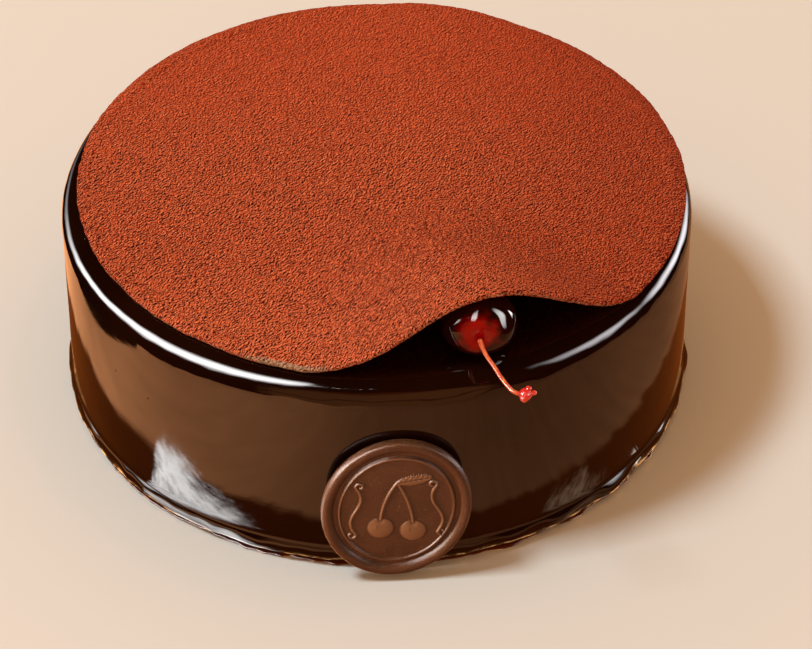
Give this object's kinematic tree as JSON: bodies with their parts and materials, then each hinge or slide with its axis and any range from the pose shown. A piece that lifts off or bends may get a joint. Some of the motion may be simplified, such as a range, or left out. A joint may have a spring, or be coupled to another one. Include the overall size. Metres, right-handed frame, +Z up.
{
  "type": "drunken cherry cake",
  "caption": "Round glazed chocolate cake with a cocoa-dusted disc lifted by a stemmed cherry on top and an oval chocolate seal leaning on its side.",
  "frame": {"origin": "middle of the flat face that the cake stands on", "axes": "+Z up; -Y is the front, where the seal leans on the wall"},
  "size_m": [0.1832, 0.193, 0.0894],
  "materials": {
    "dark_glaze": "very dark brown mirror glaze, wet and glossy, a little wavy with small pits",
    "cocoa_velvet": "matt brick-brown cocoa velvet with a fine grain",
    "cherry_skin": "glossy dark red cherry skin, brighter red round the stalk",
    "cherry_stalk": "satin orange-red stalk, steeped in syrup",
    "moulded_chocolate": "satin milk chocolate with rubbed edges"
  },
  "bodies": {
    "root": {"glazed_cake": "dark_glaze", "cocoa_disc": "cocoa_velvet", "cherry": "cherry_skin", "cherry_stem": "cherry_stalk", "chocolate_seal": "moulded_chocolate"}
  },
  "joints": []
}
